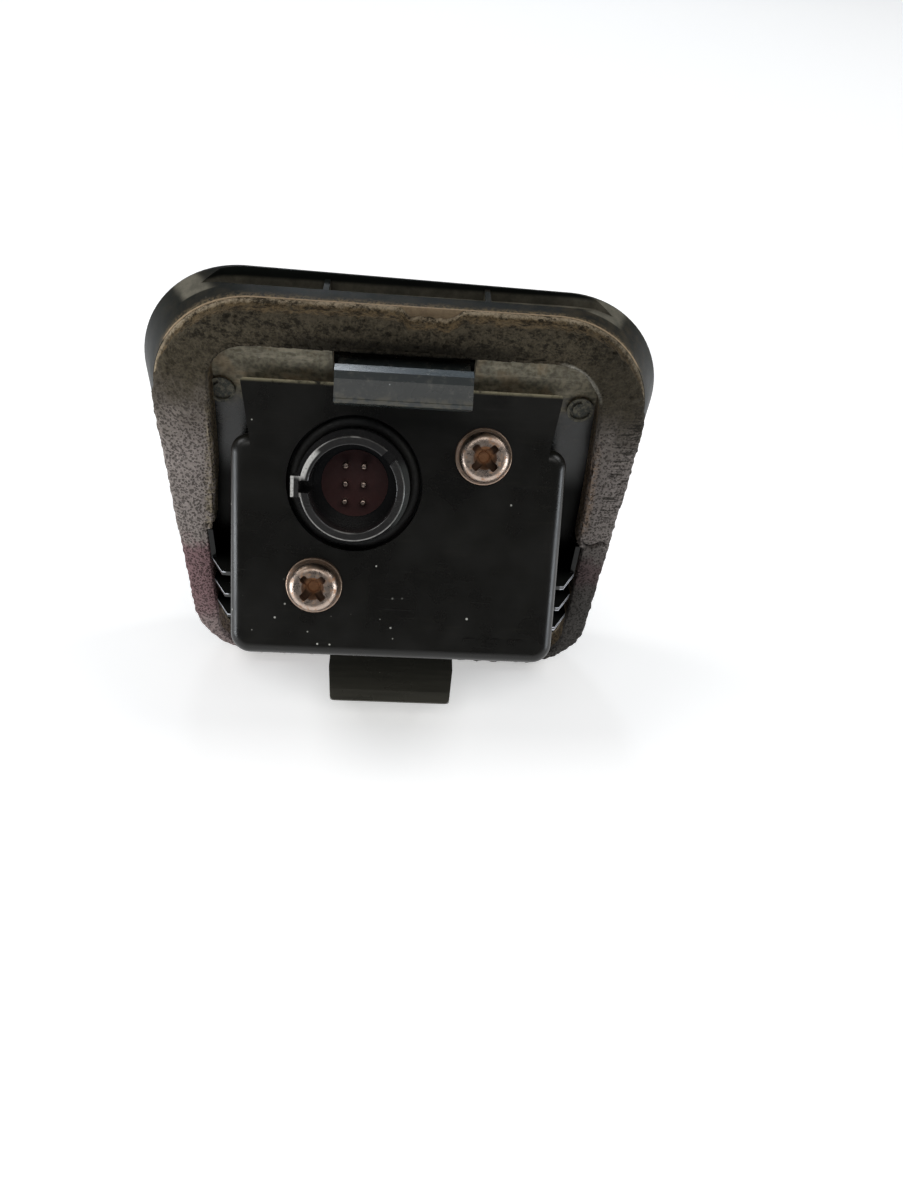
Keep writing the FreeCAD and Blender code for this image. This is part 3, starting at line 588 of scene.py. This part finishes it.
def foam():
    """Old open-pored foam: olive brown and dusty on top, grey at the sides, purplish low down."""
    m = Mat("foam", 0.95, Specular_IOR_Level=0.12)
    wander = m.noise(3.0, 5, 0.65)
    fine = m.noise(0.30, 4, 0.75)
    z = m.math("ADD", m.z, m.both(m.minus(wander, 0.5), 8.0))
    olive = m.mix(fine, srgb(38, 34, 26), srgb(92, 84, 69))
    grey = m.mix(fine, srgb(106, 99, 95), srgb(166, 156, 150))
    purple = m.mix(fine, srgb(100, 76, 78), srgb(142, 116, 117))
    colour = m.mix(m.ramp(z, 19.0, 7.0), olive, grey)
    # purplish low down; painted shade darkens the right side, most of all below the slit
    right = m.ramp(m.x, -2.0, 10.0)
    low = m.both(m.ramp(z, -3.5, -6.5), m.ramp(z, -20.0, -14.0, 0.40, 1.0))
    low = m.both(low, m.lerp(right, 1.0, m.ramp(z, -12.0, -8.0, 0.0, 0.95)))
    colour = m.mix(low, colour, purple)
    lower = m.ramp(z, -2.4, -3.2, 0.0, 0.30)
    shade = m.both(right, m.math("ADD", lower, m.ramp(z, -4.0, -13.0, 0.36, 0.58)))
    colour = m.mix(m.both(shade, m.ramp(z, 17.0, 11.0)), colour, srgb(40, 40, 38))
    # the soaked dark stretch above the latch
    soaked = m.both(m.ramp(m.absolute(m.x), 16.0, 9.0), m.ramp(m.y, 1.6, 0.8))
    soaked = m.both(soaked, m.ramp(m.math("ADD", m.z, m.both(fine, 1.2)), 24.6, 23.4))
    colour = m.mix(m.both(m.both(soaked, m.ramp(z, 18.0, 20.5)), 0.72), colour, srgb(24, 22, 17))
    # brown outer wall, tan dust along the base
    wall = m.both(m.ramp(m.y, 0.45, 1.0), m.ramp(m.noise(0.8, 4, 0.7), 0.30, 0.55))
    colour = m.mix(m.both(wall, 0.6), colour, srgb(110, 92, 66))
    base_line = m.ramp(m.math("ADD", m.y, m.both(fine, 0.6)), 2.75, 3.05)
    base_line = m.both(base_line, m.ramp(wander, 0.25, 0.55, 0.35, 1.0))
    colour = m.mix(m.both(base_line, 0.85), colour, srgb(158, 144, 122))
    # crumbled inner edges of the sides: tan at the left, rusty at the right
    crumb = m.ramp(m.noise(0.55, 4, 0.75), 0.38, 0.58)
    inward = m.math("ADD", m.math("ADD", m.x, 21.86), m.both(m.z, -0.11))
    left_edge = m.both(m.ramp(inward, -1.35, -0.55), m.ramp(m.x, -12.0, -16.0))
    left_edge = m.both(left_edge, m.band(z, -3.5, 0.0, 13.0, 17.0))
    colour = m.mix(m.both(m.both(left_edge, crumb), 0.75), colour, srgb(140, 128, 102))
    inward = m.minus(m.minus(22.55, m.x), m.both(m.z, 0.05))
    right_edge = m.both(m.ramp(inward, -1.1, -0.4), m.ramp(m.x, 12.0, 16.0))
    right_edge = m.both(right_edge, m.band(z, -2.0, 1.0, 9.0, 13.0))
    colour = m.mix(m.both(m.both(right_edge, crumb), 0.7), colour, srgb(126, 104, 84))
    # pale crease round the opening's upper right corner
    reach = m.vec("DISTANCE", m.vec("MULTIPLY", m.mm, (1, 0, 1)), CREASE_CENTRE)
    crease = m.band(reach, CREASE_R - 0.5, CREASE_R - 0.2, CREASE_R + 0.35, CREASE_R + 0.65)
    crease = m.both(crease, m.both(m.ramp(m.x, 16.0, 18.0), m.ramp(m.z, 17.0, 18.5)))
    colour = m.mix(m.both(m.both(crease, m.ramp(m.y, 0.9, 0.5)), 0.8), colour, srgb(158, 154, 142))
    # wrinkle cracks across the upper right side
    crack = m.ramp(m.noise(0.36, 2, 0.6, (7, 2, 1)), 0.52, 0.60)
    where = m.both(m.ramp(m.x, 23.6, 24.6), m.both(m.ramp(z, 18.0, 15.0), m.ramp(z, 1.0, 4.0)))
    colour = m.mix(m.both(m.both(crack, where), 0.75), colour, srgb(28, 27, 22))
    # dimmer upper right corner
    dim = m.both(m.ramp(m.x, 17.0, 22.0), m.ramp(z, 10.0, 15.0))
    colour = m.mix(m.both(dim, 0.45), colour, srgb(26, 24, 19))
    # clumps and pores
    on_top = m.ramp(z, 12.0, 17.0)
    clump = m.ramp(m.noise(0.8, 5, 0.8, (1.6, 1, 1)), 0.46, 0.60)
    ragged = m.both(m.both(clump, on_top), m.ramp(m.z, 20.5, 23.5, 0.35, 0.85))
    colour = m.mix(ragged, colour, srgb(25, 22, 16))
    pore = m.ramp(m.cells(0.31, warp=0.8), 0.52, 0.30)
    pits = m.ramp(m.cells(1.0, warp=0.9), 0.22, 0.10)
    hole = m.larger(m.both(pore, m.lerp(on_top, 0.60, 0.25)), m.both(pits, 0.4))
    colour = m.mix(hole, colour, srgb(26, 23, 20))
    m.colour(m.mix(m.both(m.specks(2.2, 0.07, 0.35), 0.8), colour, srgb(176, 168, 150)))
    m.bump(m.minus(fine, m.both(hole, 1.4)), 0.12)
    return m.mat


# pieces with a plain finish: dark tone, light tone, roughness, shader constants
PLAIN_FINISHES = {
    "terminal_plastic": (srgb(186, 178, 158), srgb(214, 208, 190), 0.45, {}),
    "chip_plastic": (srgb(24, 24, 26), srgb(38, 38, 40), 0.5, {}),
    "capacitor_ceramic": (srgb(126, 92, 60), srgb(158, 122, 84), 0.4, {}),
    "shield_steel": (srgb(150, 150, 148), srgb(190, 190, 188), 0.34, {"Metallic": 1.0}),
    "spacer_brass": (srgb(176, 140, 74), srgb(206, 172, 104), 0.3, {"Metallic": 1.0}),
    "inner_screw_steel": (srgb(120, 120, 122), srgb(170, 170, 172), 0.32, {"Metallic": 1.0}),
    "frame_plastic": (srgb(22, 22, 23), srgb(36, 36, 38), 0.5, {}),
    "sensor_glass": (srgb(26, 34, 40), srgb(48, 62, 66), 0.12, {}),
    "filter_glass": (srgb(70, 120, 120), srgb(96, 146, 140), 0.08, {"Transmission_Weight": 0.6}),
    "retainer_plastic": (srgb(16, 16, 17), srgb(28, 28, 30), 0.42, {}),
}


def add_materials():
    """Gives every CAD node but the foam the material of its slot."""
    made = {
        "bezel_plastic": bezel_plastic(), "housing_plastic": housing_plastic(),
        "latch_plastic": latch_plastic(), "cover_plastic": cover_plastic(),
        "seal_rubber": seal_rubber(), "connector_plastic": connector_plastic(),
        "insert_plastic": insert_plastic(), "pin_metal": pin_metal(),
        "board_laminate": board_laminate(), "barrel_aluminium": barrel_aluminium(),
        "lens_glass": lens_glass(),
    }
    for name, (dark, light, roughness, fixed) in PLAIN_FINISHES.items():
        made[name] = plain_part(name, dark, light, roughness, **fixed).mat
    for part in frame["record"]["subparts"]:
        node, slot = part["node"], part["material_slot"]
        if node == "foam_gasket":
            continue
        mat = screw_steel(node) if slot == "screw_steel" else made[slot]
        obj = bpy.data.objects[node]
        if not obj.material_slots:
            obj.data.materials.append(mat)
        for holder in obj.material_slots:
            holder.material = mat


# ---- foam gasket ------------------------------------------------------------------------------
def rounded(corners, step=0.15):
    """Closed outline from (x, z, radius) corners, as points about a step apart."""
    pts = []
    for i, (x, z, r) in enumerate(corners):
        p = np.array((x, z))
        a, b = (np.array(corners[j][:2]) - p for j in (i - 1, (i + 1) % len(corners)))
        a, b = a / np.linalg.norm(a), b / np.linalg.norm(b)
        half = math.acos(max(-1.0, min(1.0, a @ b))) / 2
        if r < 0.05:
            pts.append(p)
            continue
        centre = p + (a + b) / np.linalg.norm(a + b) * r / math.sin(half)
        first, last = (p + d * r / math.tan(half) - centre for d in (a, b))
        turn = math.atan2(first[0] * last[1] - first[1] * last[0], first @ last)
        count = max(2, int(abs(turn) * r / step))
        for k in range(count + 1):
            t = turn * k / count
            pts.append(centre + (first[0] * math.cos(t) - first[1] * math.sin(t),
                                 first[0] * math.sin(t) + first[1] * math.cos(t)))
    pts = np.array(pts)
    lengths = np.linalg.norm(np.roll(pts, -1, 0) - pts, axis=1)
    run = np.concatenate([[0], np.cumsum(lengths)])
    at = np.linspace(0, run[-1], int(run[-1] / step), endpoint=False)
    closed = np.vstack([pts, pts[:1]])
    return np.stack([np.interp(at, run, closed[:, k]) for k in (0, 1)], axis=1)


def radius_at(outline, angles):
    """Distance of an outline from the origin at each angle."""
    a = np.arctan2(outline[:, 1], outline[:, 0])
    order = np.argsort(a)
    a, r = a[order], np.hypot(outline[:, 0], outline[:, 1])[order]
    wrapped = np.concatenate([a - 2 * np.pi, a, a + 2 * np.pi])
    return np.interp(angles, wrapped, np.tile(r, 3))


def smooth(x, lo, hi):
    """Rises from 0 at lo to 1 at hi."""
    t = np.clip((x - lo) / (hi - lo), 0, 1)
    return t * t * (3 - 2 * t)


# (x, z, corner radius) seen from behind
FOAM_OUTSIDE = [(-25.95, -24.9, 8.6), (25.95, -24.9, 8.0), (27.45, 25.45, 11.6), (-27.45, 25.45, 11.6)]
FOAM_OPENING = [(-23.2, -23.0, 4.0), (23.2, -23.0, 4.0), (23.2, -3.2, 0.3), (22.45, -2.5, 0.0),
                (22.3, 4.0, 6.0), (21.4, 21.8, 6.0), (-20.6, 21.8, 4.5), (-21.2, 6.0, 8.0),
                (-22.1, -2.2, 0.0), (-22.9, -2.9, 0.3)]
FOAM_T = 3.0              # thickness: the face is at y = 0, the glued base at y = FOAM_T
FOAM_STATIONS = 1300      # sections round the ring
OUTER_ROUND_Y, OUTER_ROUND_IN = 0.75, 0.95   # worn outer shoulder, its depth and width
INNER_ROUND_Y, INNER_ROUND_OUT = 0.6, 0.55   # worn inner shoulder
WALL_HOLLOW = 0.18        # how far the outer wall sinks in at mid height
TEAR_X = (-0.9, 0.5, 4.9, 5.9)               # the torn piece: full depth between the middle two
TEAR_DEPTH, TEAR_RAGGED = 0.95, 0.3
SLIT_DEPTH, SLIT_WIDTH = 0.9, 0.20
LIP_OUT = 0.34            # dusty lip of adhesive along the outer base


def foam_section():
    """Cross-section from the outer base round to the inner base, with worn rounded shoulders.

    Its rows are (across from 0 outside to 1 inside, y, inset of the outside, overhang of the inside).
    """
    rows = []
    for k in range(15):
        t = k / 14
        y = FOAM_T * (1 - t) + OUTER_ROUND_Y * t
        rows.append((0.0, y, WALL_HOLLOW * math.sin(math.pi * t), 0.0))
    for k in range(1, 9):
        t = k / 8 * math.pi / 2
        y = OUTER_ROUND_Y - OUTER_ROUND_Y * math.sin(t)
        rows.append((0.0, y, OUTER_ROUND_IN * (1 - math.cos(t)), 0.0))
    for k in range(1, 30):
        rows.append((k / 30, 0.0, OUTER_ROUND_IN, 0.0))
    for k in range(0, 7):
        t = k / 6 * math.pi / 2
        rows.append((1.0, INNER_ROUND_Y * (1 - math.cos(t)), 0.0, INNER_ROUND_OUT * (1 - math.sin(t))))
    for k in range(1, 13):
        rows.append((1.0, INNER_ROUND_Y + (FOAM_T - INNER_ROUND_Y) * k / 12, 0.0, 0.0))
    return np.array(rows)


def torn(out_r, direction):
    """The outside radius, with a piece torn out of the upper edge."""
    edge_x = out_r * direction[:, 0]
    edge_z = out_r * direction[:, 1]
    left, left_full, right_full, right = TEAR_X
    ragged = np.array([noise.noise(Vector((x * 1.1, 3.0, 0.0))) for x in edge_x])
    span = smooth(edge_x, left, left_full) * smooth(edge_x, right, right_full) * (edge_z > 20)
    return out_r - span * (TEAR_DEPTH + TEAR_RAGGED * ragged)


def outward(grid):
    """Unit normals of the ring's sections, pointing out of the foam."""
    along = np.roll(grid, -1, 0) - np.roll(grid, 1, 0)
    over = np.gradient(grid, axis=1)
    normal = np.cross(along, over)
    return normal / (np.linalg.norm(normal, axis=2, keepdims=True) + 1e-12)


def foam_texture(grid):
    """Fixed noise at each point: broad lumps, ragged crumbs, and the distance to the nearest pit."""
    lump, rag, pit = (np.empty(grid.shape[:2]) for _ in range(3))
    for at in np.ndindex(grid.shape[:2]):
        q = Vector(grid[at])
        lump[at] = noise.noise(q / 3.2)
        rag[at] = noise.fractal(q / 0.9, 0.9, 2.0, 3)
        pit[at] = noise.voronoi(q / 0.75)[0][0]
    return lump, rag, pit


def foam_lift(grid, across, lump, rag, pit):
    """How far the surface stands out from its plain section; nothing at the glued base."""
    px, py, pz = (grid[..., k] for k in range(3))
    top = smooth(pz, 12.0, 18.0)
    on_face = smooth(py, 0.9, 0.1)
    shoulder = np.exp(-(across / 0.10) ** 2) * smooth(py, 1.6, 0.4)
    inner_edge = np.exp(-((across - 1.0) / 0.10) ** 2) * on_face
    lift = 0.10 * lump + rag * (0.05 + 0.07 * top + 0.10 * shoulder + 0.05 * inner_edge)
    lift -= smooth(pit, 0.42, 0.10) * (0.10 + 0.16 * top * shoulder + 0.10 * top) * (0.6 + rag)
    lift += inner_edge * 0.16 * (lump + 0.5) * smooth(pz, -4, 0) * smooth(pz, 16, 12)
    # crown of the face, squeezed flatter along the top
    lift += on_face * 0.18 * np.sin(np.pi * np.clip(across, 0, 1)) * (1 - 0.8 * top)
    # the two slits that run outward from the steps of the opening
    on_right = px > 0
    slit_z = np.where(on_right, -2.45 + 0.25 * np.sin(px * 2.3), -2.25 + 0.1 * np.sin(px * 3.0))
    reach = np.where(on_right, 25.8, 22.9)
    slit = np.exp(-((pz - slit_z) / SLIT_WIDTH) ** 2) * smooth(np.abs(px), reach + 0.5, reach - 0.3)
    lift -= SLIT_DEPTH * slit * on_face
    return lift * smooth(py, FOAM_T - 0.05, FOAM_T - 0.7)


def foam_points():
    """Grid of points in mm, a row for each station round the ring."""
    angles = np.linspace(-math.pi, math.pi, FOAM_STATIONS, endpoint=False)
    direction = np.stack([np.cos(angles), np.sin(angles)], axis=1)
    out_r = torn(radius_at(rounded(FOAM_OUTSIDE), angles), direction)
    in_r = radius_at(rounded(FOAM_OPENING), angles)
    across, y, inset, overhang = (column[None, :] for column in foam_section().T)
    outside = out_r[:, None] - inset
    inside = in_r[:, None] + overhang
    r = outside * (1 - across) + inside * across
    px, pz = r * direction[:, :1], r * direction[:, 1:]
    py = np.broadcast_to(y, px.shape)
    grid = np.stack([px, py, pz], axis=2)

    lump, rag, pit = foam_texture(grid)
    lip = smooth(py, 2.25, 2.95) * (across < 0.01) * (LIP_OUT + 0.04 * lump)
    grid = grid + outward(grid) * foam_lift(grid, across, lump, rag, pit)[..., None]
    grid[..., 0] += direction[:, :1] * lip
    grid[..., 2] += direction[:, 1:] * lip
    grid[..., 1] = np.minimum(grid[..., 1], FOAM_T)
    return grid


def add_foam():
    """Closed ring of quads between neighbouring stations, standing for the CAD gasket."""
    grid = foam_points()
    n, k = grid.shape[:2]
    index = np.arange(n * k).reshape(n, k)
    after = np.roll(index, -1, 0)
    quads = np.stack([index[:, :-1], after[:, :-1], after[:, 1:], index[:, 1:]], axis=2).reshape(-1, 4)
    base = np.stack([index[:, -1], after[:, -1], after[:, 0], index[:, 0]], axis=1)
    mesh = bpy.data.meshes.new("foam_ring")
    mesh.from_pydata((grid.reshape(-1, 3) * MM).tolist(), [], np.vstack([quads, base]).tolist())
    mesh.validate()
    mesh.update()
    for face in mesh.polygons:
        face.use_smooth = True
    mesh.materials.append(foam())
    piece = bpy.data.objects.new("foam_ring", mesh)
    bpy.context.scene.collection.objects.link(piece)
    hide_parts("foam_gasket")
    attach(piece, "camera")


bpy.context.scene.view_settings.view_transform = "Standard"
add_camera()
add_light()
add_floor()
add_materials()
add_foam()
